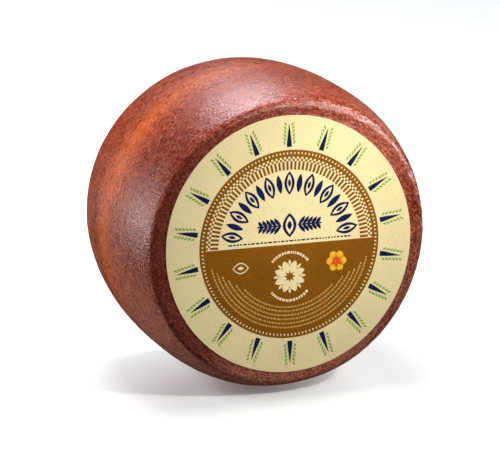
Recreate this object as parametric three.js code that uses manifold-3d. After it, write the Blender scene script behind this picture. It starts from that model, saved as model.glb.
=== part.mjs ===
import * as THREE from 'three';
import Module from 'manifold-3d';
import { mergeVertices } from 'three/addons/utils/BufferGeometryUtils.js';

// A whole wheel of matured hard cheese with a glossy reddish brown rind, standing on its
// rim, and the round paper label stuck on its front face. Millimetres, +Z up. The front
// face looks along -Y and the wheel's axis lies along Y. The origin is on the ground, under
// the middle of the wheel.

// Driving dimensions of the cheese
const thickness = 124.5;      // between the two flat faces
const bulgeRadius = 97.7;     // where the side stands out furthest
const rimRadius = 88.0;       // where the side's own curve would meet a face
const faceRadius = 84.8;      // edge of the flat of each face
const edgeDepth = 4.0;        // how far the rounded edge reaches into the side
const bulgeDepth = 57;        // from the front face to the widest ring
const frontPower = 3.1;       // how squarely the side swells from the front edge
const backPower = 2.39;       // and how it falls away again to the back edge
const lean = 3.32 * Math.PI / 180; // both faces lean back from upright
const restDepth = 1.6;        // height pressed flat where the wheel stands

// Unevenness of the hand-turned wheel: parts of its radius that swing with the angle
const oval = [0.007, 0.015];          // twice round, cosine and sine
const threeSided = [-0.0017, 0.001];  // three times round, cosine and sine

// Driving dimensions of the label
const labelRadius = 80;
const labelThickness = 0.2;
const labelGap = 0.3;         // glue line between the paper and the rind
const labelShift = [0.2, -0.1]; // from the wheel's axis, across and up the face

// How finely the round shapes are divided
const stepsRound = 96;
const stepsEdge = 4;
const stepsSide = 7;
const ringsOnFace = [0.36, 0.7];  // rings on each flat face, as shares of its radius

const swell = (away, reach, power) => bulgeRadius - (bulgeRadius - rimRadius) * (away / reach) ** power;

// Radius of the side at a depth behind the front face
function sideRadius(depth) {
  return depth < bulgeDepth
    ? swell(bulgeDepth - depth, bulgeDepth, frontPower)
    : swell(depth - bulgeDepth, thickness - bulgeDepth, backPower);
}

// Steepness of the side where the rounded edge at one face begins, towards the bulge
function sideSlope(reach, power) {
  return (bulgeRadius - rimRadius) * power / reach * (1 - edgeDepth / reach) ** (power - 1);
}

// A rounded edge: a parabola that leaves the face flat and meets the side along its slope
function edgeCurve(reach, power) {
  const meets = swell(reach - edgeDepth, reach, power);
  const corner = meets - sideSlope(reach, power) * edgeDepth;
  return new THREE.QuadraticBezierCurve(
    new THREE.Vector2(faceRadius, 0),
    new THREE.Vector2(corner, 0),
    new THREE.Vector2(meets, edgeDepth),
  ).getPoints(stepsEdge);
}

// The wheel's section: points (radius, depth) from the front centre round to the back centre
function wheelSection() {
  const face = ringsOnFace.map((share) => share * faceRadius);
  const front = [0, ...face].map((radius) => new THREE.Vector2(radius, 0));
  const back = [0, ...face].map((radius) => new THREE.Vector2(radius, thickness)).reverse();
  const side = [];
  for (let step = 1; step < stepsSide; step++) {
    const depth = edgeDepth + (thickness - 2 * edgeDepth) * step / stepsSide;
    side.push(new THREE.Vector2(sideRadius(depth), depth));
  }
  const backEdge = edgeCurve(thickness - bulgeDepth, backPower)
    .map((point) => new THREE.Vector2(point.x, thickness - point.y));
  return [...front, ...edgeCurve(bulgeDepth, frontPower), ...side, ...backEdge.reverse(), ...back];
}

// How much wider the wheel is at one angle than a true circle
function unevenness(angle) {
  return 1
    + oval[0] * Math.cos(2 * angle) + oval[1] * Math.sin(2 * angle)
    + threeSided[0] * Math.cos(3 * angle) + threeSided[1] * Math.sin(3 * angle);
}

// Places a point given across (x) and up (w) a section at a depth behind the front face
function place(across, up, depth) {
  return [across, depth - thickness / 2 + up * Math.sin(lean), up * Math.cos(lean)];
}

// Turns a lathe's mesh into the wheel's shape: the turned radius is widened by the angle, and
// the height along the lathe becomes the depth behind the front face
function layDown(geometry, widen, shift) {
  const position = geometry.attributes.position;
  for (let index = 0; index < position.count; index++) {
    const angle = Math.atan2(position.getZ(index), position.getX(index));
    const radius = Math.hypot(position.getX(index), position.getZ(index)) * widen(angle);
    const across = shift[0] + radius * Math.cos(angle);
    const up = shift[1] + radius * Math.sin(angle);
    position.setXYZ(index, ...place(across, up, position.getY(index)));
  }
  geometry.deleteAttribute('normal');
  geometry.deleteAttribute('uv');
  return mergeVertices(geometry);
}

const wasm = await Module();
wasm.setup();

function toSolid(geometry) {
  return new wasm.Manifold(new wasm.Mesh({
    numProp: 3,
    vertProperties: new Float32Array(geometry.attributes.position.array),
    triVerts: new Uint32Array(geometry.index.array),
  }));
}

function toGeometry(solid) {
  const mesh = solid.getMesh();
  const geometry = new THREE.BufferGeometry();
  geometry.setAttribute('position', new THREE.BufferAttribute(mesh.vertProperties, 3));
  geometry.setIndex(new THREE.BufferAttribute(mesh.triVerts, 1));
  geometry.computeVertexNormals();
  return geometry;
}

// The ground as a thick slab whose top lies at a height
function groundSlab(height) {
  const side = 4 * bulgeRadius;
  const slab = new THREE.BoxGeometry(side, side, bulgeRadius).translate(0, 0, height - bulgeRadius / 2);
  slab.deleteAttribute('normal');
  slab.deleteAttribute('uv');
  return mergeVertices(slab);
}

function makeCheese() {
  const round = layDown(new THREE.LatheGeometry(wheelSection(), stepsRound), unevenness, [0, 0]);
  round.computeBoundingBox();
  const ground = round.boundingBox.min.z + restDepth;
  const pressed = toSolid(round).subtract(toSolid(groundSlab(ground)));
  const rind = new THREE.MeshStandardMaterial({ color: 0x7a3526, roughness: 0.35, metalness: 0 });
  const mesh = new THREE.Mesh(toGeometry(pressed), rind);
  mesh.name = 'cheese';
  return mesh;
}

function makeLabel() {
  const front = -labelGap - labelThickness;
  const section = [[0, front], [labelRadius, front], [labelRadius, -labelGap], [0, -labelGap]]
    .map(([radius, depth]) => new THREE.Vector2(radius, depth));
  const geometry = layDown(new THREE.LatheGeometry(section, stepsRound), () => 1, labelShift);
  geometry.computeVertexNormals();
  const paper = new THREE.MeshStandardMaterial({ color: 0xe9ddae, roughness: 0.6, metalness: 0 });
  const mesh = new THREE.Mesh(geometry, paper);
  mesh.name = 'label';
  return mesh;
}

const cheeseWheel = new THREE.Group();
cheeseWheel.add(makeCheese(), makeLabel());

// Stands the wheel on the ground, with the middle of its outline over the origin
const outline = new THREE.Box3().setFromObject(cheeseWheel);
const middle = outline.getCenter(new THREE.Vector3());
cheeseWheel.position.set(-middle.x, -middle.y, -outline.min.z);

export default cheeseWheel;
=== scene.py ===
import math

import bpy
import numpy as np
from mathutils import Matrix, Vector


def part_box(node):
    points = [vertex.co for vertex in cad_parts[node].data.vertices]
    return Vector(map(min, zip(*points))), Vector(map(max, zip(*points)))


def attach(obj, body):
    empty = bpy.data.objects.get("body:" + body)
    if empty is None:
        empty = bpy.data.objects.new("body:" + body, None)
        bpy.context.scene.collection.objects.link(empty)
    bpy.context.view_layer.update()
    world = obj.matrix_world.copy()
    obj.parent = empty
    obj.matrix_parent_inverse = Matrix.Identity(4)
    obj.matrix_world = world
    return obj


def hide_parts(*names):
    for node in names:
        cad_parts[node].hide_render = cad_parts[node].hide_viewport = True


# A whole wheel of matured cheese standing on its rim, with a printed paper label on its front face.
# Sizes are in metres unless a name says otherwise. "depth" runs back from the front face, "across"
# and "up" lie in a face, and an angle is about the wheel's axis, from +X towards the top.

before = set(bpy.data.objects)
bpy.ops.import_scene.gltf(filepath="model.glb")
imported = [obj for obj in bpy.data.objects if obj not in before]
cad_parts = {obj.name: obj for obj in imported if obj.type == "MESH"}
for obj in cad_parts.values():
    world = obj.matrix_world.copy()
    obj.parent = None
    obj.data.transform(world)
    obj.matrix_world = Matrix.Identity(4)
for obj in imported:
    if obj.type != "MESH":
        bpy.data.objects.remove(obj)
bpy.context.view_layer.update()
print("frame loaded:", sorted(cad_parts))

mm = 0.001

wheel = {
    "thickness": 124.5 * mm,
    "bulgeRadius": 97.7 * mm,   # where the side stands out furthest
    "rimRadius": 88.0 * mm,     # where the side's own curve would meet a face
    "faceRadius": 84.8 * mm,    # edge of the flat of each face
    "edgeDepth": 4.0 * mm,      # how far the rounded edge reaches into the side
    "bulgeDepth": 57.0 * mm,    # from the front face to the widest ring
    "frontPower": 3.1,          # how squarely the side swells from the front edge
    "backPower": 2.39,          # and how it falls away again to the back edge
    "lean": math.radians(3.32),  # both faces lean back from upright
    "oval": (0.007, 0.015),     # unevenness: cosine and sine parts of a wave twice round the wheel
    "threeSided": (-0.0017, 0.001),  # and of a wave three times round
}

label = {
    "radius": 80.0 * mm,
    "across": 0.2 * mm,         # the label's middle from the wheel's axis
    "up": -0.1 * mm,
    "turn": math.radians(-0.98),  # of its print, anticlockwise
    "boxFront": -0.5 * mm,      # the depths between which the CAD label lies
    "boxBack": -0.3 * mm,
}


# A point of the wheel from across, up and depth: the sections lean back, so going up also goes back
def placeInWheel(across, up, depth):
    lean = wheel["lean"]
    forward = depth - wheel["thickness"] / 2 + up * math.sin(lean)
    return np.stack([across + 0 * forward, forward, up * math.cos(lean) + 0 * forward], -1)


# The wheel's middle, from where the frame has the label
labelLow, labelHigh = (np.array(corner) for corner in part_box("label"))
labelMiddleDepth = (label["boxFront"] + label["boxBack"]) / 2
wheelMiddle = (labelLow + labelHigh) / 2 - placeInWheel(label["across"], label["up"], labelMiddleDepth)

# Camera

cameraSet = {
    "azimuth": math.radians(-20.905),
    "elevation": math.radians(15.684),
    "distance": 2.424,          # from the wheel's middle
    "across": -1.66 * mm,       # how far the camera is moved sideways and upwards
    "up": -9.56 * mm,
    "lens": 279.5,              # in millimetres, as the sensor's width is
    "sensor": 36.0,
}


# The camera stands at its distance from the wheel's middle in the direction called back, is moved
# within its own plane, and looks the other way
def makeCamera():
    az, el = cameraSet["azimuth"], cameraSet["elevation"]
    back = Vector((math.sin(az) * math.cos(el), -math.cos(az) * math.cos(el), math.sin(el)))
    right = Vector((math.cos(az), math.sin(az), 0.0))
    up = back.cross(right)
    data = bpy.data.cameras.new("camera")
    data.lens = cameraSet["lens"]
    data.sensor_width = cameraSet["sensor"]
    data.clip_end = 50.0
    data.dof.use_dof = False
    camera = bpy.data.objects.new("camera", data)
    place = Vector(wheelMiddle) + back * cameraSet["distance"]
    place += right * cameraSet["across"] + up * cameraSet["up"]
    turn = Matrix((right, up, back)).transposed().to_4x4()
    camera.matrix_world = Matrix.Translation(place) @ turn
    bpy.context.collection.objects.link(camera)
    bpy.context.scene.camera = camera


makeCamera()
print("camera placed")

# Meshes from arrays


# A mesh object from points, faces and, where given, one (u, v) pair for each corner of each face
def meshObject(name, points, faces, cornerUv=None, smooth=True):
    mesh = bpy.data.meshes.new(name)
    mesh.from_pydata(points.tolist(), [], faces)
    if cornerUv is not None:
        layer = mesh.uv_layers.new(name="UVMap")
        layer.data.foreach_set("uv", np.ascontiguousarray(cornerUv, dtype=np.float32).ravel())
    mesh.polygons.foreach_set("use_smooth", [smooth] * len(mesh.polygons))
    mesh.update()
    piece = bpy.data.objects.new(name, mesh)
    bpy.context.collection.objects.link(piece)
    return piece


# A float for each point of a mesh, which its material reads by name
def pointValue(piece, name, values):
    layer = piece.data.attributes.new(name, "FLOAT", "POINT")
    layer.data.foreach_set("value", np.ascontiguousarray(values, dtype=np.float32).ravel())


# Smooth step: 0 below low, 1 above high, and 3t^2 - 2t^3 between them
def smoothStep(low, high, value):
    share = np.clip((value - low) / (high - low), 0.0, 1.0)
    return share * share * (3.0 - 2.0 * share)


# The four weights of a cubic B-spline at a share of the way between two lattice points
def splineWeights(share):
    near, far = share, 1.0 - share
    return (far ** 3 / 6.0,
            (3 * near ** 3 - 6 * near ** 2 + 4) / 6.0,
            (3 * far ** 3 - 6 * far ** 2 + 4) / 6.0,
            near ** 3 / 6.0)


# Soft noise in space, about -1 to 1: random values on a cubic lattice of cells, joined by B-splines
def spaceNoise(points, cell, seed):
    low = points.reshape(-1, 3).min(0) - 2 * cell
    grid = (points - low) / cell
    whole = np.floor(grid).astype(int)
    count = whole.reshape(-1, 3).max(0) + 4
    values = np.random.default_rng(seed).uniform(-1, 1, count)
    weights = [splineWeights((grid - whole)[..., axis]) for axis in range(3)]
    total = np.zeros(points.shape[:-1])
    for i in range(4):
        for j in range(4):
            for k in range(4):
                tap = values[whole[..., 0] + i - 1, whole[..., 1] + j - 1, whole[..., 2] + k - 1]
                total += tap * weights[0][i] * weights[1][j] * weights[2][k]
    return total * 2.0


# Soft noise on the wheel's skin, about -1 to 1, that closes on itself once round: random values on a
# lattice of cells along the section and round the wheel, joined by B-splines
def skinNoise(along, turns, alongCell, cellsRound, seed):
    rows, columns = along / alongCell + 2, turns * cellsRound
    row, column = np.floor(rows).astype(int), np.floor(columns).astype(int)
    values = np.random.default_rng(seed).uniform(-1, 1, (row.max() + 4, cellsRound))
    rowWeights, columnWeights = splineWeights(rows - row), splineWeights(columns - column)
    total = np.zeros(along.shape)
    for i in range(4):
        for j in range(4):
            tap = values[row + i - 1, (column + j - 1) % cellsRound]
            total += tap * rowWeights[i] * columnWeights[j]
    return total * 1.6


# The cheese

skin = {
    "stepsRound": 500,
    "underLabelRings": 4,       # coarse rings on the face behind the label
    "fineFrom": 76.0 * mm,      # radius at which the fine rings of the front face begin
    "fineRing": 0.7 * mm,       # spacing of the rings on the front edge
    "sideRing": 1.05 * mm,      # and on the side
    "backRings": 30,            # rings on the back face
    "settle": 0.45 * mm,        # how far the skin's mean lies inside the CAD solid
    "freeFrom": (77 * mm, 81 * mm),  # radii over which the skin comes free of the label
    "broadDent": (0.34 * mm, 42 * mm),  # the relief: height from its mean, and length of its cells
    "softDent": (0.16 * mm, 15 * mm),
    "peel": (0.085 * mm, 3.6 * mm),
    "grain": (0.050 * mm, 2.1 * mm),
    "fibre": (0.060 * mm, 2.6 * mm, 46),  # on the side, with the number of its cells once round
    "fibreFade": (4 * mm, 14 * mm),  # depths from either face over which the fibres begin
    "edgeDimple": (0.36 * mm, 3.6 * mm),
    "dimpleTop": 0.2,           # dimples only go down: their noise is held under this
    "edgeCrease": (0.12 * mm, 8 * mm, 170),
    "edgePit": (0.22 * mm, 2.0 * mm),
    "edgeFrom": (80.5 * mm, 83.5 * mm),  # radii over which the rough front edge begins
    "edgeTo": (4 * mm, 13 * mm),  # and depths over which it ends
    "roughMiddle": math.radians(48),  # the angle at which it is roughest
    "roughLeast": 0.25,         # and its share of that roughness far from there
}


# Radius of the side: the bulge radius less a power of the distance from the widest ring
def sideRadius(depth):
    bulge, drop = wheel["bulgeDepth"], wheel["bulgeRadius"] - wheel["rimRadius"]
    front = np.clip((bulge - depth) / bulge, 0, 1) ** wheel["frontPower"]
    back = np.clip((depth - bulge) / (wheel["thickness"] - bulge), 0, 1) ** wheel["backPower"]
    return wheel["bulgeRadius"] - drop * (front + back)


# A rounded edge as (radius, depth into the side): a parabola that leaves the face flat and meets the
# side along its slope
def edgeCurve(reach, power, steps):
    drop, deep = wheel["bulgeRadius"] - wheel["rimRadius"], wheel["edgeDepth"]
    meets = wheel["bulgeRadius"] - drop * (1 - deep / reach) ** power
    slope = drop * power / reach * (1 - deep / reach) ** (power - 1)
    corner = meets - slope * deep
    t = np.linspace(0, 1, steps + 1)
    radius = (1 - t) ** 2 * wheel["faceRadius"] + 2 * t * (1 - t) * corner + t ** 2 * meets
    return radius, t ** 2 * deep


# The wheel's section without its two centres: radius, depth and distance along it, front to back
def wheelSection():
    thick, bulge, deep = wheel["thickness"], wheel["bulgeDepth"], wheel["edgeDepth"]
    behind = np.linspace(0, skin["fineFrom"], skin["underLabelRings"] + 1)[1:-1]
    ringCount = round((wheel["faceRadius"] - skin["fineFrom"]) / skin["fineRing"])
    flat = np.linspace(skin["fineFrom"], wheel["faceRadius"], ringCount + 1)[:-1]
    edgeSteps = round(1.6 * deep / skin["fineRing"])
    frontRadius, frontDepth = edgeCurve(bulge, wheel["frontPower"], edgeSteps)
    backRadius, backDepth = edgeCurve(thick - bulge, wheel["backPower"], edgeSteps)
    sideSteps = round((thick - 2 * deep) / skin["sideRing"])
    sideDepth = np.linspace(deep, thick - deep, sideSteps + 1)[1:-1]
    backFace = np.linspace(wheel["faceRadius"], 0, skin["backRings"] + 1)[1:-1]
    radius = np.concatenate([behind, flat, frontRadius, sideRadius(sideDepth), backRadius[::-1], backFace])
    depth = np.concatenate([0 * behind, 0 * flat, frontDepth, sideDepth,
                            thick - backDepth[::-1], 0 * backFace + thick])
    along = np.cumsum(np.hypot(np.diff(radius, prepend=0), np.diff(depth, prepend=0)))
    return radius, depth, along


# How much wider the wheel is at an angle than a true circle: two low waves round it
def unevenness(angle):
    oval, three = wheel["oval"], wheel["threeSided"]
    return (1 + oval[0] * np.cos(2 * angle) + oval[1] * np.sin(2 * angle)
            + three[0] * np.cos(3 * angle) + three[1] * np.sin(3 * angle))


# Height of the skin over its mean: broad dents, soft dents, orange peel and grain everywhere, fibres
# round the side, and dimples, pits and short creases on the front edge, deepest at its upper right
def skinRelief(points, radius, depth, along, turns):
    height = np.zeros(radius.shape)
    for seed, name in enumerate(("broadDent", "softDent", "peel", "grain"), 11):
        high, cell = skin[name]
        height += high * spaceNoise(points, cell, seed)

    high, cell, cellsRound = skin["fibre"]
    onSide = smoothStep(*skin["fibreFade"], np.minimum(depth, wheel["thickness"] - depth))
    height += high * onSide * skinNoise(along, turns, cell, cellsRound, 15)

    fromMiddle = 2 * math.pi * (turns - 0.25) - skin["roughMiddle"]
    least = skin["roughLeast"]
    onEdge = least + (1 - least) * smoothStep(0.55, 0.9, np.cos(fromMiddle))
    onEdge = onEdge * smoothStep(*skin["edgeFrom"], radius) * (1 - smoothStep(*skin["edgeTo"], depth))
    high, cell = skin["edgeDimple"]
    height += high * onEdge * np.minimum(spaceNoise(points, cell, 16), skin["dimpleTop"])
    high, cell, cellsRound = skin["edgeCrease"]
    height += high * onEdge * skinNoise(along, turns, cell, cellsRound, 17)
    high, cell = skin["edgePit"]
    height += high * onEdge * spaceNoise(points, cell, 18)
    return height


# The skin: the section carried round the axis, widened by the unevenness, moved along its own outward
# direction by the relief less the settling, and pressed flat where it meets the ground. Its UV map
# holds the distance round the widest ring and the distance along the section.
def makeCheese():
    radius, depth, along = wheelSection()
    rows, columns = len(radius), skin["stepsRound"]
    turn = np.arange(columns) / columns - 0.25
    angle = 2 * math.pi * turn
    ringRadius, ringDepth = radius[:, None] + 0 * angle, depth[:, None] + 0 * angle
    ringAlong, ringTurns = along[:, None] + 0 * angle, (turn + 0.25)[None, :] + 0 * ringRadius
    wide = ringRadius * unevenness(angle)
    points = placeInWheel(wide * np.cos(angle), wide * np.sin(angle), ringDepth) + wheelMiddle
    roundStep = np.roll(points, -1, 1) - np.roll(points, 1, 1)
    outward = np.cross(roundStep, np.gradient(points, axis=0))
    outward /= np.linalg.norm(outward, axis=-1, keepdims=True)
    height = skinRelief(points, ringRadius, ringDepth, ringAlong, ringTurns)
    free = smoothStep(*skin["freeFrom"], ringRadius) + (ringDepth > wheel["edgeDepth"])
    height = (height - skin["settle"]) * np.minimum(free, 1)
    outward *= np.sign((outward * (points - wheelMiddle)).sum(-1, keepdims=True))
    points += outward * height[..., None]
    points[..., 2] = np.maximum(points[..., 2], 0.0)
    frontMiddle = placeInWheel(0.0, 0.0, 0.0) + wheelMiddle
    backMiddle = placeInWheel(0.0, 0.0, wheel["thickness"] - skin["settle"]) + wheelMiddle
    allPoints = np.concatenate([points.reshape(-1, 3), frontMiddle[None], backMiddle[None]])

    index = np.arange(rows * columns).reshape(rows, columns)
    nextIndex = np.roll(index, -1, 1)
    quads = np.stack([index[:-1], index[1:], nextIndex[1:], nextIndex[:-1]], -1).reshape(-1, 4)
    frontFan = np.stack([0 * index[0] + rows * columns, index[0], nextIndex[0]], -1)
    backFan = np.stack([0 * index[0] + rows * columns + 1, nextIndex[-1], index[-1]], -1)

    girth = 2 * math.pi * wheel["bulgeRadius"]
    here, after = np.arange(columns) / columns * girth, (np.arange(columns) + 1) / columns * girth
    low, high = along[:-1, None] + 0 * here, along[1:, None] + 0 * here
    left, right = here[None] + 0 * low, after[None] + 0 * low
    quadUv = np.stack([left, low, left, high, right, high, right, low], -1).reshape(-1, 2)
    middle, first, last = (here + after) / 2, 0 * here + along[0], 0 * here + along[-1]
    frontUv = np.stack([middle, 0 * here, here, first, after, first], -1)
    backUv = np.stack([middle, last + radius[-1], after, last, here, last], -1)
    cornerUv = np.concatenate([quadUv, frontUv.reshape(-1, 2), backUv.reshape(-1, 2)])
    faces = quads.tolist() + frontFan.tolist() + backFan.tolist()
    cheese = meshObject("cheese_rind", allPoints, faces, cornerUv)
    addSkinTones(cheese, allPoints, np.append(ringDepth, [0.0, wheel["thickness"]]),
                 np.append(ringRadius, [0.0, 0.0]), np.append(angle + 0 * ringRadius, [0.0, 0.0]))
    return cheese


tones = {
    "bandDepth": 64 * mm,       # of the middle of the orange band round the side
    "bandWidth": 12 * mm,       # to either side of it
    "bandDrift": 7 * mm,        # how far it strays
    "bandLeast": 0.2,           # its share of orange on the far side, of 1 on the left
    "faceEdge": (0.6 * mm, 2.6 * mm),  # depths over which a face's tone gives way to the side's
    "paintedShade": (18 * mm, 52 * mm),  # depths over which the painted shade behind the front edge fades
    "paintedShadeMost": 0.9,
    "paintedSheenMissing": 0.75,         # how much of the painted sheen low down is missing far back on the left
    "paintedSheenFade": (36 * mm, 66 * mm),  # depths over which it goes missing there
    "wetTo": (3 * mm, 12 * mm),  # depths over which the wet shine of the front edge ends
    "wetFrom": (0.72, 0.9),     # shares of the way to the upper right over which it is strongest
}


# Values for the material: an orange band round the side near its widest ring, strongest on the left, a
# redder upper side, dark faces with painted shade that deepens towards the lower left, away from the key
# light, and less dark at the very bottom, painted shade on the side behind the front edge, a pale painted
# sheen (the white floor's reflection) on the lower side with a painted haze towards the right, less so
# from the band on at the left, and how wet the skin is. What changes with the angle fades towards the
# middle of a face.
def addSkinTones(piece, points, depth, radius, angle):
    outwards = np.minimum(radius / wheel["faceRadius"], 1)
    upwards, rightwards = outwards * np.sin(angle), outwards * np.cos(angle)
    drift = tones["bandDrift"] * spaceNoise(points, 34 * mm, 21)
    band = np.exp(-((depth + drift - tones["bandDepth"]) / tones["bandWidth"]) ** 2)
    patchy = 0.8 + 0.4 * spaceNoise(points, 26 * mm, 22)
    shownSide = 0.5 - 0.45 * rightwards + 0.14 * upwards
    bandStrength = tones["bandLeast"] + (1 - tones["bandLeast"]) * shownSide
    pointValue(piece, "orangeShare", np.clip(band * patchy * bandStrength, 0, 1))

    onFace = 1 - smoothStep(*tones["faceEdge"], np.minimum(depth, wheel["thickness"] - depth))
    upperRight = 0.5 + 0.41 * rightwards + 0.29 * upwards
    wander = 0.3 * spaceNoise(points, 14 * mm, 24)
    lowest = smoothStep(0.55, 1.0, -upwards)
    # The faces' own dark tone, deepened by painted shade away from the key light at the upper right, and
    # less dark at the very bottom
    dark = onFace * (1.35 - 1.05 * upperRight + wander) * (1 - 0.8 * lowest)
    # Painted shade on the side behind the front edge, deeper away from the upper right and not low down
    paintedShade = (1 - smoothStep(*tones["paintedShade"], depth)) * (1 - onFace) * (1.1 - upperRight)
    paintedShade *= smoothStep(-0.6, 0.1, upwards)
    pointValue(piece, "darkToneAndPaintedShade", np.clip(dark + tones["paintedShadeMost"] * paintedShade, 0, 1))

    redWander = 0.5 * spaceNoise(points, 30 * mm, 25)
    pointValue(piece, "redShare", np.clip(0.5 + 0.5 * upwards + redWander, 0, 1))

    # Painted sheen: the white floor's reflection painted pale on the lower side, and a painted haze on the
    # face's upper right and the side's right
    paintedSheen = smoothStep(-0.25, 0.65, -upwards) * (1 - 0.45 * onFace) + 0.15 * onFace * upperRight
    paintedSheen += 0.2 * smoothStep(0.0, 0.7, rightwards) * (1 - onFace)
    missing = tones["paintedSheenMissing"] * smoothStep(*tones["paintedSheenFade"], depth)
    paintedSheen *= 1 - missing * smoothStep(0.1, 0.6, -rightwards)
    pointValue(piece, "paintedSheenShare", np.clip(paintedSheen + 0.25 * spaceNoise(points, 20 * mm, 23), 0, 1))

    strongest = 0.35 + 0.65 * smoothStep(*tones["wetFrom"], upperRight)
    wet = (1 - smoothStep(*tones["wetTo"], depth)) * strongest * (1 - 0.35 * onFace)
    pointValue(piece, "wetShare", np.clip(wet + 0.2 * spaceNoise(points, 8 * mm, 26), 0, 1))


# Materials


# Feeds a socket from another one, or sets it to a value
def feed(tree, socket, value):
    if isinstance(value, bpy.types.NodeSocket):
        tree.links.new(value, socket)
    else:
        socket.default_value = value


# Adds a node to a material: settings are the node's own, inputs are values or sockets to link
def addNode(tree, kind, inputs=None, **settings):
    node = tree.nodes.new("ShaderNode" + kind)
    for name, value in settings.items():
        setattr(node, name, value)
    for key, value in (inputs or {}).items():
        feed(tree, node.inputs[key], value)
    return node


# A new material with its shader: fixed values go on the shader's own sockets
def newMaterial(name, shaderValues):
    material = bpy.data.materials.new(name)
    material.use_nodes = True
    tree = material.node_tree
    shader = tree.nodes["Principled BSDF"]
    for key, value in shaderValues.items():
        shader.inputs[key].default_value = value
    return material, tree, shader


# A mix of two colours by a share, each a colour or a socket
def mixColours(tree, share, first, second):
    node = addNode(tree, "Mix", {"Factor": share}, data_type="RGBA")
    for socket, value in zip([s for s in node.inputs if s.type == "RGBA"], (first, second)):
        feed(tree, socket, value)
    return next(s for s in node.outputs if s.type == "RGBA")


# A value spread from one range to another, held at its ends
def spread(tree, value, fromLow, fromHigh, toLow, toHigh):
    inputs = {"Value": value, "From Min": fromLow, "From Max": fromHigh, "To Min": toLow, "To Max": toHigh}
    return addNode(tree, "MapRange", inputs).outputs["Result"]


# One number worked out from two
def combine(tree, how, first, second):
    return addNode(tree, "Math", {0: first, 1: second}, operation=how).outputs[0]


# A linear colour from an ordinary screen colour of 0 to 255
def screenColour(red, green, blue):
    shares = np.array([red, green, blue]) / 255.0
    linear = np.where(shares <= 0.04045, shares / 12.92, ((shares + 0.055) / 1.055) ** 2.4)
    return (*linear.tolist(), 1.0)


rind = {
    "dark": screenColour(88, 27, 18),
    "brown": screenColour(116, 38, 24),
    "red": screenColour(158, 52, 28),
    "orange": screenColour(230, 107, 22),
    # low: a pale greyish pink for the painted sheen, the floor's reflection and a haze towards the right
    "low": screenColour(186, 124, 108),
    "pale": screenColour(216, 118, 74),
    "darkMost": 0.85,           # how much of the dark tone goes over the dark faces and the painted shade
    "dryRoughness": 0.33,       # of the side, and of the wet front edge
    "wetRoughness": 0.10,
    "bumpDepth": 0.34 * mm,
    "mottleCell": 9 * mm,       # lengths of the patterns' cells
    "streakCell": (16 * mm, 2.4 * mm),  # round the wheel, and along its section
    "fibreCell": (5.5 * mm, 1.3 * mm),
    "grainCell": 1.5 * mm,
    "pitCell": 1.9 * mm,
}


# Noise for a material from the given coordinates: cells of one length, or of two lengths on a UV map
def noise(tree, place, cell, detail, roughness):
    cells = (*cell, 1.0) if isinstance(cell, tuple) else (cell, cell, cell)
    scaled = addNode(tree, "Mapping", {"Vector": place, "Scale": tuple(1 / length for length in cells)})
    inputs = {"Vector": scaled.outputs["Vector"], "Scale": 1.0, "Detail": detail, "Roughness": roughness}
    return addNode(tree, "TexNoise", inputs).outputs["Fac"]


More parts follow.
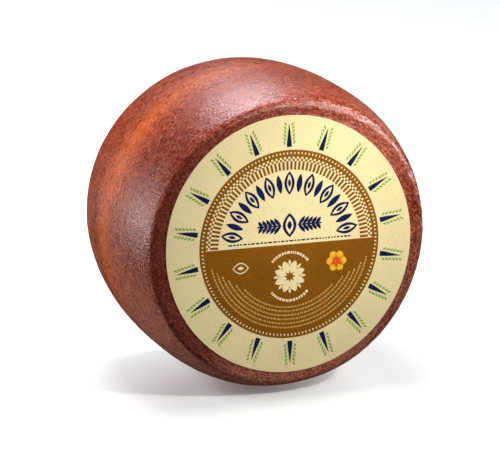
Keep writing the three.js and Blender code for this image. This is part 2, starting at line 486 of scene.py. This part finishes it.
# The rind: dark, brown and red by a mottling, short streaks round the side, an orange band, a pale
# painted sheen low down and towards the right, dark faces and painted shade, pale and dark fibres, pale
# specks and dark pores. The wet front edge is smoother than the side, and pitted.
def makeRindMaterial():
    material, tree, shader = newMaterial("rind", {"IOR": 1.52})
    place = addNode(tree, "TexCoord").outputs["Object"]
    skinMap = addNode(tree, "UVMap", uv_map="UVMap").outputs["UV"]
    mottle = noise(tree, place, rind["mottleCell"], 4.0, 0.65)
    streak = noise(tree, skinMap, rind["streakCell"], 5.0, 0.75)
    fibre = noise(tree, skinMap, rind["fibreCell"], 3.0, 0.75)
    grain = noise(tree, place, rind["grainCell"], 2.0, 0.75)
    tone = {name: addNode(tree, "Attribute", attribute_name=name).outputs["Fac"]
            for name in ("orangeShare", "redShare", "darkToneAndPaintedShade", "paintedSheenShare", "wetShare")}

    patch = combine(tree, "MULTIPLY", mottle, 0.55)
    patch = combine(tree, "ADD", patch, combine(tree, "MULTIPLY", streak, 0.45))
    patch = combine(tree, "ADD", patch, spread(tree, tone["redShare"], 0.0, 1.0, -0.10, 0.10))
    colour = mixColours(tree, spread(tree, patch, 0.36, 0.50, 0.0, 1.0), rind["dark"], rind["brown"])
    colour = mixColours(tree, spread(tree, patch, 0.44, 0.62, 0.0, 1.0), colour, rind["red"])
    orange = combine(tree, "MULTIPLY", tone["orangeShare"], spread(tree, streak, 0.36, 0.54, 0.4, 1.0))
    colour = mixColours(tree, orange, colour, rind["orange"])
    # Painted sheen: the pale low tone stands in for the floor's reflection and a haze towards the right
    low = combine(tree, "MULTIPLY", tone["paintedSheenShare"], spread(tree, streak, 0.40, 0.58, 0.65, 1.0))
    colour = mixColours(tree, low, colour, rind["low"])
    # The faces' dark tone with its painted shade, and the painted shade behind the front edge
    dark = combine(tree, "MULTIPLY", tone["darkToneAndPaintedShade"], rind["darkMost"])
    colour = mixColours(tree, dark, colour, rind["dark"])
    fleck = combine(tree, "MULTIPLY", spread(tree, fibre, 0.50, 0.60, 0.0, 0.62),
                    spread(tree, tone["darkToneAndPaintedShade"], 0.0, 1.0, 1.0, 0.25))
    colour = mixColours(tree, fleck, colour, rind["pale"])
    colour = mixColours(tree, spread(tree, fibre, 0.38, 0.49, 0.60, 0.0), colour, rind["dark"])
    colour = mixColours(tree, spread(tree, grain, 0.38, 0.50, 0.38, 0.0), colour, rind["dark"])
    speck = combine(tree, "MULTIPLY", spread(tree, grain, 0.54, 0.66, 0.0, 0.6),
                    spread(tree, tone["darkToneAndPaintedShade"], 0.0, 1.0, 1.0, 0.3))
    colour = mixColours(tree, speck, colour, rind["pale"])
    tree.links.new(colour, shader.inputs["Base Color"])

    wander = combine(tree, "ADD", spread(tree, mottle, 0.35, 0.65, -0.04, 0.04),
                     spread(tree, grain, 0.44, 0.60, -0.04, 0.14))
    rough = spread(tree, tone["wetShare"], 0.0, 1.0, rind["dryRoughness"], rind["wetRoughness"])
    tree.links.new(combine(tree, "ADD", rough, wander), shader.inputs["Roughness"])

    pits = noise(tree, place, rind["pitCell"], 1.0, 0.5)
    wetPits = combine(tree, "MULTIPLY", pits, spread(tree, tone["wetShare"], 0.5, 1.0, 0.0, 3.8))
    height = combine(tree, "MULTIPLY", fibre, 0.8)
    height = combine(tree, "ADD", height, combine(tree, "MULTIPLY", grain, 1.1))
    height = combine(tree, "ADD", height, wetPits)
    bump = addNode(tree, "Bump", {"Strength": 1.0, "Distance": rind["bumpDepth"], "Height": height})
    tree.links.new(bump.outputs["Normal"], shader.inputs["Normal"])
    return material


cheese = makeCheese()
cheese.data.materials.append(makeRindMaterial())
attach(cheese, "root")
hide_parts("cheese")
print("cheese made:", len(cheese.data.polygons), "faces")

# The label: layers of paper and ink, each a thin closed film

paperSet = {
    "paper": (0.10 * mm, -0.25 * mm),  # depths of the back and the front of each layer
    "field": (-0.20 * mm, -0.30 * mm),
    "cream": (-0.25 * mm, -0.35 * mm),
    "print": (-0.20 * mm, -0.40 * mm),
    "heart": (-0.30 * mm, -0.45 * mm),
    "fieldSteps": 128,
    "fieldBlunt": 0.02,         # radians by which a field's two ends are cut short
}

# The print's places, radii, lengths and widths, in label radii
ornament = {
    "discRadius": 0.733,
    "halfRadius": 0.681,
    "sprigs": 18,
    "firstSprig": math.radians(10),
    "spindle": (0.757, 0.930),  # inner and outer end
    "spindleWidth": 0.042,
    "leafPairs": 6,
    "firstPair": (0.776, 0.033),  # how far out and aside the innermost leaves of a sprig start
    "nextPair": (0.0285, -0.0022),  # and the step to the next ones
    "leafTurn": 0.55,           # radians by which a leaf turns from its spindle
    "leafLength": 0.034,
    "leafWidth": 0.0145,
    "leafBend": 0.002,
    "bars": 60,
    "bar": (0.580, 0.647),      # inner and outer end of the fringe's bars
    "barWidth": 0.0180,
    "checkFrom": 0.648,
    "checkSide": 0.0165,
    "arch": (11, 169, 17),      # first and last angle in degrees, and how many lozenges and spindles
    "archLozenge": (0.398, 0.160, 0.031, 0.022),  # inner end, length, half its width, and its line
    "archLeaf": (0.446, 0.510),  # the leaf in a lozenge: inner and outer end
    "archLeafWidth": 0.024,
    "archSpindle": (0.404, 0.552),
    "archSpindleWidth": 0.046,
    "navyMiddle": (0.0, 0.15),  # of the lozenge between two sprigs
    "navyLozenge": (0.164, 0.044, 0.024),  # length, half its width, and its line
    "navyLeaf": (0.068, 0.038),  # the leaf in it: length and width
    "stalk": (0.068, 0.195, 0.012),  # its start from the middle, length and width
    "twigPairs": 5,
    "twig": (0.070, 0.086, 0.028),  # of the first pair
    "nextTwig": (0.036, -0.006),  # the step in start and length to the next pair
    "twigTurn": 0.85,
    "twigBend": 0.004,
    "beads": 150,
    "bead": (0.700, 0.716),
    "beadWidth": 0.0095,
    "rosette": (0.0, -0.25),
    "petals": 8,
    "petal": (0.026, 0.104, 0.058),  # its start from the rosette's middle, length and width
    "smallPetal": (0.086, 0.046, 0.020),
    "rosetteArcs": ((35, 145, 31), (215, 325, 32)),  # first and last angle in degrees, and seed
    "rosetteArc": (0.188, 0.020, 0.024),  # radius, height and longest dash
    "lozenge": (-0.40, -0.155),
    "creamLozenge": (0.124, 0.040, 0.009),  # length, half its width, and its line
    "creamLeaf": (0.052, 0.026),
    "flower": (0.385, -0.16),
    "lobes": 6,
    "lobe": (0.006, 0.076, 0.125),
    "heartRadius": 0.034,
    "finePrint": ((0.490, 50), (0.522, 58), (0.554, 65), (0.586, 70), (0.618, 74), (0.650, 78)),
    "fineDash": (0.012, 0.026),  # height and longest dash
    "dashGap": 0.007,
    "line": (-0.51, 0.028, 1.02),  # start and length of the straight line of dashes
    "lineDash": (0.010, 0.034),  # shortest and longest
    "lineWidth": 0.011,
    "lineGap": 0.010,
}

inkColours = {
    "cream": screenColour(238, 222, 170),
    "brown": screenColour(134, 84, 7),
    "sand": screenColour(204, 160, 90),
    "navy": screenColour(8, 28, 74),
    "green": screenColour(126, 184, 64),
    "gold": screenColour(246, 184, 44),
    "red": screenColour(226, 84, 38),
}


# Label places in label radii, turned and moved onto the front face, at a depth
def placeOnLabel(flat, depth):
    turned = np.cos(label["turn"]), np.sin(label["turn"])
    across = label["across"] + label["radius"] * (flat[..., 0] * turned[0] - flat[..., 1] * turned[1])
    up = label["up"] + label["radius"] * (flat[..., 0] * turned[1] + flat[..., 1] * turned[0])
    return placeInWheel(across, up, depth + 0 * across) + wheelMiddle


# Thin films, many at once: each is the band between two edge curves, given as (films, steps, 2) in
# label radii, with a flat front, a flat back and walls. A closed band runs round into itself, and any
# other has two ends. So that all faces look outward, the edges are swapped where the second one isn't
# on the left.
def filmArrays(edgeA, edgeB, layer, closed):
    back, front = paperSet[layer]
    ahead, aside = np.diff((edgeA + edgeB) / 2, axis=1), (edgeB - edgeA)[:, :-1]
    turning = (ahead[..., 0] * aside[..., 1] - ahead[..., 1] * aside[..., 0]).sum(1)
    onLeft = (turning > 0)[:, None, None]
    edgeA, edgeB = np.where(onLeft, edgeA, edgeB), np.where(onLeft, edgeB, edgeA)
    corners = [placeOnLabel(edgeA, back), placeOnLabel(edgeB, back),
               placeOnLabel(edgeB, front), placeOnLabel(edgeA, front)]
    points = np.stack(corners, 2)
    films, steps = points.shape[:2]
    index = np.arange(films * steps * 4).reshape(films, steps, 4)
    after = np.roll(index, -1, 1) if closed else index[:, 1:]
    here = index if closed else index[:, :-1]
    sideways = np.roll(here, -1, 2), np.roll(after, -1, 2)
    quads = np.stack([here, sideways[0], sideways[1], after], -1).reshape(-1, 4)
    if not closed:
        quads = np.concatenate([quads, index[:, 0, ::-1], index[:, -1]])
    return points.reshape(-1, 3), quads


# Joins several film arrays into one piece of one ink
def makeInk(name, ink, parts):
    points, faces, start = [], [], 0
    for edgeA, edgeB, layer, closed in parts:
        somePoints, someFaces = filmArrays(edgeA, edgeB, layer, closed)
        points.append(somePoints)
        faces.append(someFaces + start)
        start += len(somePoints)
    piece = meshObject(name, np.concatenate(points), np.concatenate(faces).tolist(), smooth=False)
    piece.data.materials.append(makeInkMaterial(name, ink))
    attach(piece, "root")
    return piece


# Points on a circle about the label's middle
def onCircle(radius, angle):
    return np.stack([radius * np.cos(angle), radius * np.sin(angle)], -1)


# A round field, or the half of it above its middle: the band between its lower and upper edge from
# left to right, with the steps crowded towards the ends, where a circle turns fastest
def roundField(radius, layer, whole=True, middle=(0.0, 0.0)):
    blunt = paperSet["fieldBlunt"]
    across = -radius * np.cos(np.linspace(blunt, math.pi - blunt, paperSet["fieldSteps"]))
    top = np.sqrt(radius ** 2 - across ** 2)
    bottom = -top if whole else 0 * across
    edges = [np.stack([across, edge], -1)[None] + np.array(middle) for edge in (bottom, top)]
    return edges[0], edges[1], layer, False


# Bars at many angles, from one radius to another, as wide as a width function of the share outwards
def radialBars(angles, inner, outer, width, steps=2):
    share = np.linspace(0, 1, steps)
    radius = inner + (outer - inner) * share
    half = np.broadcast_to(width(share) / 2, share.shape)
    out = onCircle(1.0, np.asarray(angles))[:, None]
    side = np.stack([-out[..., 1], out[..., 0]], -1)
    middle = out * radius[:, None]
    return middle + side * half[:, None], middle - side * half[:, None], "print", False


# Leaves or dashes: each starts at a place, runs along a direction for a length, bends sideways by a
# parabola, and is as wide as a width function of the share along it
def strokes(starts, angles, lengths, width, bend=0.0, steps=7):
    share = np.linspace(0, 1, steps)[None, :, None]
    starts, angles = np.asarray(starts)[:, None], np.asarray(angles)
    out = onCircle(1.0, angles)[:, None]
    side = np.stack([-out[..., 1], out[..., 0]], -1)
    long = (np.asarray(lengths) + 0 * angles)[:, None, None]
    bow = (np.asarray(bend) + 0 * angles)[:, None, None]
    middle = starts + out * long * share + side * bow * 4 * share * (1 - share)
    half = width(share) / 2
    return middle + side * half, middle - side * half, "print", False


# Widths along a stroke: a leaf swells about as the sine of the share, a spindle is widest near its
# base, and neither comes quite to a point
def leafWidth(most):
    return lambda share: np.maximum(most * np.sin(math.pi * share) ** 0.8, most * 0.04)


def spindleWidth(most):
    return lambda share: most * np.interp(share, [0.0, 0.1, 1.0], [0.95, 1.0, 0.05])


def evenWidth(most):
    return lambda share: most + 0 * share


# A lobe is as wide as the root of the share times what is left of it
def lobeWidth(most):
    return lambda share: most * np.sqrt(np.maximum(share * (1.02 - share), 0.002))


# Ring of sprigs near the label's edge: a navy spindle with green leaves in pairs on both sides
def sprigRing():
    angles = ornament["firstSprig"] + 2 * math.pi * np.arange(ornament["sprigs"]) / ornament["sprigs"]
    spindles = radialBars(angles, *ornament["spindle"], spindleWidth(ornament["spindleWidth"]), 5)
    leaves, width = [], leafWidth(ornament["leafWidth"])
    steps = tuple(zip(ornament["firstPair"], ornament["nextPair"]))
    for pair in range(ornament["leafPairs"]):
        out, aside = (first + step * pair for first, step in steps)
        for way in (-1, 1):
            starts = onCircle(out, angles) + way * aside * onCircle(1.0, angles + math.pi / 2)
            leaves.append(strokes(starts, angles + way * ornament["leafTurn"], ornament["leafLength"],
                                  width, bend=-way * ornament["leafBend"]))
    return spindles, leaves


# Fringe inside the disc: bars all round the upper half, and two rows of checks outside them
def fringe():
    count, side, width = ornament["bars"], ornament["checkSide"], evenWidth(ornament["barWidth"])
    angles = math.pi * (np.arange(count) + 0.5) / count
    parts = [radialBars(angles, *ornament["bar"], width)]
    for row in range(2):
        inner = ornament["checkFrom"] + side * row
        checkAngles = angles if row else angles[:-1] + math.pi / count / 2
        parts.append(radialBars(checkAngles, inner, inner + side, width))
    return parts


# Hollow lozenges, many at once: a line of a width round a lens that starts at a place. The lens swells
# to each side as the square of the sine of the turn round it.
def hollowLozenges(starts, angles, lengths, bow, line):
    turn = np.linspace(0, 2 * math.pi, 28, endpoint=False)[None, :, None]
    angles = np.asarray(angles)
    out = onCircle(1.0, angles)[:, None]
    side = np.stack([-out[..., 1], out[..., 0]], -1)
    middle = np.asarray(starts)[:, None] + out * lengths / 2
    edges = [middle - out * (lengths / 2 + grow) * np.cos(turn)
             + side * (bow + grow) * np.sin(turn) * np.abs(np.sin(turn)) for grow in (line / 2, -line / 2)]
    return edges[0], edges[1], "print", True


# The navy ornament of the upper half: an arch of hollow lozenges and spindles, and below it a lozenge
# between two sprigs
def navyOrnament():
    angles = np.radians(np.linspace(*ornament["arch"]))
    hollow, solid = angles[0::2], angles[1::2]
    middle, upright = np.array([ornament["navyMiddle"]]), [math.pi / 2]
    inner, *archLens = ornament["archLozenge"]
    long, *lens = ornament["navyLozenge"]
    leafLong, leafWide = ornament["navyLeaf"]
    parts = [
        hollowLozenges(onCircle(inner, hollow), hollow, *archLens),
        radialBars(hollow, *ornament["archLeaf"], leafWidth(ornament["archLeafWidth"]), 7),
        radialBars(solid, *ornament["archSpindle"], leafWidth(ornament["archSpindleWidth"]), 9),
        hollowLozenges(middle - [0.0, long / 2], upright, long, *lens),
        strokes(middle - [0.0, leafLong / 2], upright, leafLong, leafWidth(leafWide)),
    ]
    stalkStart, stalkLong, stalkWide = ornament["stalk"]
    twigStart, twigLong, twigWide = ornament["twig"]
    startStep, longStep = ornament["nextTwig"]
    for way in (-1, 1):
        along = math.pi if way < 0 else 0.0
        parts.append(strokes(middle + [way * stalkStart, 0.0], [along], stalkLong, evenWidth(stalkWide)))
        for pair in range(ornament["twigPairs"]):
            start = middle + [way * (twigStart + startStep * pair), 0.0]
            for upDown in (-1, 1):
                turned = along + way * upDown * ornament["twigTurn"]
                parts.append(strokes(start, [turned], twigLong + longStep * pair, leafWidth(twigWide),
                                     bend=-way * upDown * ornament["twigBend"]))
    return parts


# A line of fine dashes of uneven length along an arc about a middle, from one angle in degrees to another
def dashArc(radius, fromAngle, toAngle, high, longest, seed, middle=(0.0, 0.0)):
    rng, gap = np.random.default_rng(seed), ornament["dashGap"]
    reach = math.radians(toAngle - fromAngle) * radius
    lengths = rng.uniform(0.35, 1.0, int(reach / (0.68 * longest + gap)) + 1) * longest
    starts = np.cumsum(lengths + gap) - lengths
    keep = starts + lengths < reach
    angles = math.radians(fromAngle) + (starts[keep] + lengths[keep] / 2) / radius
    sweep = angles[:, None] + lengths[keep, None] / radius * np.linspace(-0.5, 0.5, 4)
    inner, outer = onCircle(radius - high / 2, sweep), onCircle(radius + high / 2, sweep)
    return inner + np.array(middle), outer + np.array(middle), "print", False


# Leaves that spread about a place. A leaf is its start, measured from the place, its length and width.
def spray(place, angles, leaf, widthOf, steps=7):
    start, long, wide = leaf
    return strokes(place + onCircle(start, angles), angles, long, widthOf(wide), steps=steps)


# The cream ornament of the brown fields: beads round the disc, a rosette between two arcs of dashes,
# and a hollow lozenge
def creamOrnament():
    beads, count = 2 * math.pi * np.arange(ornament["beads"]) / ornament["beads"], ornament["petals"]
    heart, left = np.array(ornament["rosette"]), np.array([ornament["lozenge"]])
    petals = 2 * math.pi * (np.arange(count) + 0.5) / count
    between = 2 * math.pi * np.arange(count) / count
    parts = [
        radialBars(beads, *ornament["bead"], evenWidth(ornament["beadWidth"])),
        spray(heart, petals, ornament["petal"], leafWidth, steps=11),
        spray(heart, between, ornament["smallPetal"], leafWidth),
    ]
    radius, *dash = ornament["rosetteArc"]
    for fromAngle, toAngle, seed in ornament["rosetteArcs"]:
        parts.append(dashArc(radius, fromAngle, toAngle, *dash, seed, heart))
    long, *lens = ornament["creamLozenge"]
    leafLong, leafWide = ornament["creamLeaf"]
    parts.append(hollowLozenges(left - [long / 2, 0.0], [0.0], long, *lens))
    parts.append(strokes(left - [leafLong / 2, 0.0], [0.0], leafLong, leafWidth(leafWide)))
    return parts


# Fine lines of dashes along the lower edge of the brown half, each shorter than the one below it
def finePrint():
    return [dashArc(radius, 270 - half, 270 + half, *ornament["fineDash"], 40 + line)
            for line, (radius, half) in enumerate(ornament["finePrint"])]


# A flower at a place: round lobes about a round heart
def flower():
    middle = np.array(ornament["flower"])
    lobes = 2 * math.pi * np.arange(ornament["lobes"]) / ornament["lobes"]
    petals = spray(middle, lobes, ornament["lobe"], lobeWidth, steps=13)
    return petals, roundField(ornament["heartRadius"], "heart", middle=middle)


# A straight line of fine navy dashes just over the dividing line
def dashLine():
    rng, gap = np.random.default_rng(51), ornament["lineGap"]
    left, up, long = ornament["line"]
    lengths = rng.uniform(*ornament["lineDash"], 42)
    starts = np.cumsum(lengths + gap) - lengths
    keep = starts + lengths < long
    places = np.stack([left + starts[keep], up + 0 * starts[keep]], -1)
    return strokes(places, np.zeros(keep.sum()), lengths[keep], evenWidth(ornament["lineWidth"]), steps=2)


paperLook = {
    "roughness": 0.55,
    "grain": 0.08,              # how much the lightness wanders
    "brownGrain": 0.24,         # and in the brown ink, which is printed as a fine mottle
    "grainScale": 1300.0,       # cells of the paper's grain and of its clouds to a metre
    "cloudScale": 40.0,
    "bumpDepth": 0.05 * mm,
}


# Printed paper: one colour with a fine grain of paper fibre in its lightness, its roughness and its
# bump, and faint clouds in its lightness
def makeInkMaterial(name, ink):
    colour, wander = inkColours[ink], paperLook["brownGrain" if ink == "brown" else "grain"]
    material, tree, shader = newMaterial(name, {"IOR": 1.45, "Specular IOR Level": 0.12})
    place = addNode(tree, "TexCoord").outputs["Object"]
    grain = addNode(tree, "TexNoise", {"Vector": place, "Scale": paperLook["grainScale"],
                                       "Detail": 3.0, "Roughness": 0.7}).outputs["Fac"]
    cloud = addNode(tree, "TexNoise", {"Vector": place, "Scale": paperLook["cloudScale"],
                                       "Detail": 2.0}).outputs["Fac"]
    light = tuple(min(1.0, channel * (1 + wander)) for channel in colour[:3]) + (1.0,)
    deep = tuple(channel * (1 - 1.4 * wander) for channel in colour[:3]) + (1.0,)
    share = combine(tree, "ADD", spread(tree, grain, 0.35, 0.65, 0.0, 0.75),
                    spread(tree, cloud, 0.3, 0.7, 0.0, 0.25))
    tree.links.new(mixColours(tree, share, deep, light), shader.inputs["Base Color"])
    rough = paperLook["roughness"]
    tree.links.new(spread(tree, grain, 0.3, 0.7, rough - 0.06, rough + 0.08), shader.inputs["Roughness"])
    bump = addNode(tree, "Bump", {"Strength": 0.25, "Distance": paperLook["bumpDepth"], "Height": grain})
    tree.links.new(bump.outputs["Normal"], shader.inputs["Normal"])
    return material


# All of the label, from the sheet of paper up
def makeLabel():
    paper = makeInk("label_sheet", "cream", [roundField(1.0, "paper")])
    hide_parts("label")
    makeInk("label_disc", "brown", [roundField(ornament["discRadius"], "field")])
    makeInk("label_half", "cream", [roundField(ornament["halfRadius"], "cream", whole=False)])
    spindles, leaves = sprigRing()
    petals, heart = flower()
    makeInk("label_fringe", "brown", fringe())
    makeInk("label_navy", "navy", [spindles] + navyOrnament() + [dashLine()])
    makeInk("label_green", "green", leaves)
    makeInk("label_cream_print", "cream", creamOrnament())
    makeInk("label_fine_print", "sand", finePrint())
    makeInk("label_flower", "gold", [petals])
    makeInk("label_flower_heart", "red", [heart])


makeLabel()
print("label made")

# Floor, light and world

studio = {
    "floorSide": 12.0,          # in metres
    "floorLevel": -0.05 * mm,   # a hair under the flat spot that the wheel stands on
    "floorColour": (0.91, 0.93, 0.94, 1.0),
    "floorGlowWithPaintedShadow": (0.0, 0.45),        # the floor glows like a lamp, least beside the wheel, which paints the wheel's shadow: its glow there and further off
    "paintedShadowMiddle": (-50 * mm, -50 * mm, 0.0),
    "paintedShadowReach": (18 * mm, 104 * mm),  # distances from that middle between which the glow rises out of the painted shadow
    "worldColour": (0.94, 0.96, 1.0, 1.0),
    "worldStrength": 0.24,
}

# Soft lights: place from the wheel's middle, width and height, all in metres, watts and colour, and
# for the spotlight what it aims at and its cone in degrees. A light without gloss only brightens what
# it falls on, and one that isn't diffuse is only mirrored.
white, warm, cool = (1.0, 1.0, 1.0), (1.0, 0.92, 0.80), (0.80, 0.91, 1.0)
lilac, rose = (0.96, 0.88, 0.96), (1.0, 0.89, 0.87)
lights = {
    "spotOnLabel": {"place": (0.50, -0.85, 0.80), "size": (0.08, 0.08), "watts": 72.0, "colour": warm,
                    "aim": (0.028, -0.06, 0.05), "cone": 11.6},
    "nearLabel": {"place": (0.19, -0.28, 0.17), "size": (0.12, 0.12), "watts": 0.42, "colour": white},
    "overTop": {"place": (0.0, 0.35, 1.50), "size": (0.7, 0.7), "watts": 10.5, "colour": white,
                "gloss": False},
    "leftSide": {"place": (-1.20, 0.50, 0.50), "size": (1.0, 1.0), "watts": 18.5, "colour": white,
                 "gloss": False},
    "topBack": {"place": (0.06, 0.72, 1.20), "size": (0.55, 0.40), "watts": 22.0, "colour": lilac,
                "diffuse": False},
    "topBackLow": {"place": (0.25, 1.35, 0.75), "size": (1.0, 0.6), "watts": 0.15, "colour": cool},
    "leftBack": {"place": (-1.20, 0.70, 0.12), "size": (0.5, 0.5), "watts": 11.5, "colour": rose,
                 "diffuse": False},
    "leftBackFar": {"place": (-0.90, 1.10, 0.12), "size": (0.6, 0.5), "watts": 0.2, "colour": lilac},
    "rightUpper": {"place": (0.80, -0.16, 0.76), "size": (0.18, 0.26), "watts": 6.0, "colour": white,
                   "diffuse": False},
    "rightMiddle": {"place": (1.04, 0.02, 0.44), "size": (0.20, 0.30), "watts": 9.0, "colour": white,
                    "diffuse": False},
    "rightLow": {"place": (1.08, 0.12, 0.14), "size": (0.24, 0.34), "watts": 2.6, "colour": white,
                 "diffuse": False},
}


# A soft light at its place, aimed at the wheel's middle or at its own aim
def makeLight(name, place, size, watts, colour, aim=(0, 0, 0), cone=None, gloss=True, diffuse=True):
    data = bpy.data.lights.new(name, "SPOT" if cone else "AREA")
    if cone:
        data.spot_size, data.spot_blend = math.radians(cone), 1.0
        data.shadow_soft_size = size[0]
    else:
        data.shape = "RECTANGLE"
        data.size, data.size_y = size
    data.energy, data.color = watts, colour
    lamp = bpy.data.objects.new(name, data)
    lamp.location = Vector(wheelMiddle) + Vector(place)
    lamp.rotation_euler = (Vector(place) - Vector(aim)).to_track_quat("Z", "Y").to_euler()
    lamp.visible_glossy, lamp.visible_diffuse = gloss, diffuse
    bpy.context.collection.objects.link(lamp)


# The floor, the lights and the world
def makeStudio():
    half, level = studio["floorSide"] / 2, studio["floorLevel"]
    corners = [(x * half, y * half, level) for x, y in ((-1, -1), (1, -1), (1, 1), (-1, 1))]
    floor = meshObject("floor", np.array(corners), [(0, 1, 2, 3)], smooth=False)
    material, tree, shader = newMaterial("floor", {"Roughness": 0.9, "Specular IOR Level": 0.1})
    shader.inputs["Base Color"].default_value = studio["floorColour"]
    shader.inputs["Emission Color"].default_value = studio["floorColour"]
    place = addNode(tree, "TexCoord").outputs["Object"]
    # Painted shadow: the floor's glow is least near the wheel and rises further off
    away = addNode(tree, "VectorMath", {0: place, 1: studio["paintedShadowMiddle"]}, operation="DISTANCE")
    floorGlowWithPaintedShadow = spread(tree, away.outputs["Value"], *studio["paintedShadowReach"], *studio["floorGlowWithPaintedShadow"])
    tree.links.new(floorGlowWithPaintedShadow, shader.inputs["Emission Strength"])
    floor.data.materials.append(material)
    floor.visible_glossy = False    # it isn't mirrored in the rind, nor brightens it from below
    floor.visible_diffuse = False
    for name, settings in lights.items():
        makeLight(name, **settings)
    world = bpy.data.worlds.new("studio")
    world.use_nodes = True
    background = world.node_tree.nodes["Background"]
    background.inputs["Color"].default_value = studio["worldColour"]
    background.inputs["Strength"].default_value = studio["worldStrength"]
    world.cycles_visibility.glossy = False
    bpy.context.scene.world = world
    bpy.context.scene.view_settings.view_transform = "Standard"


makeStudio()
print("studio made")
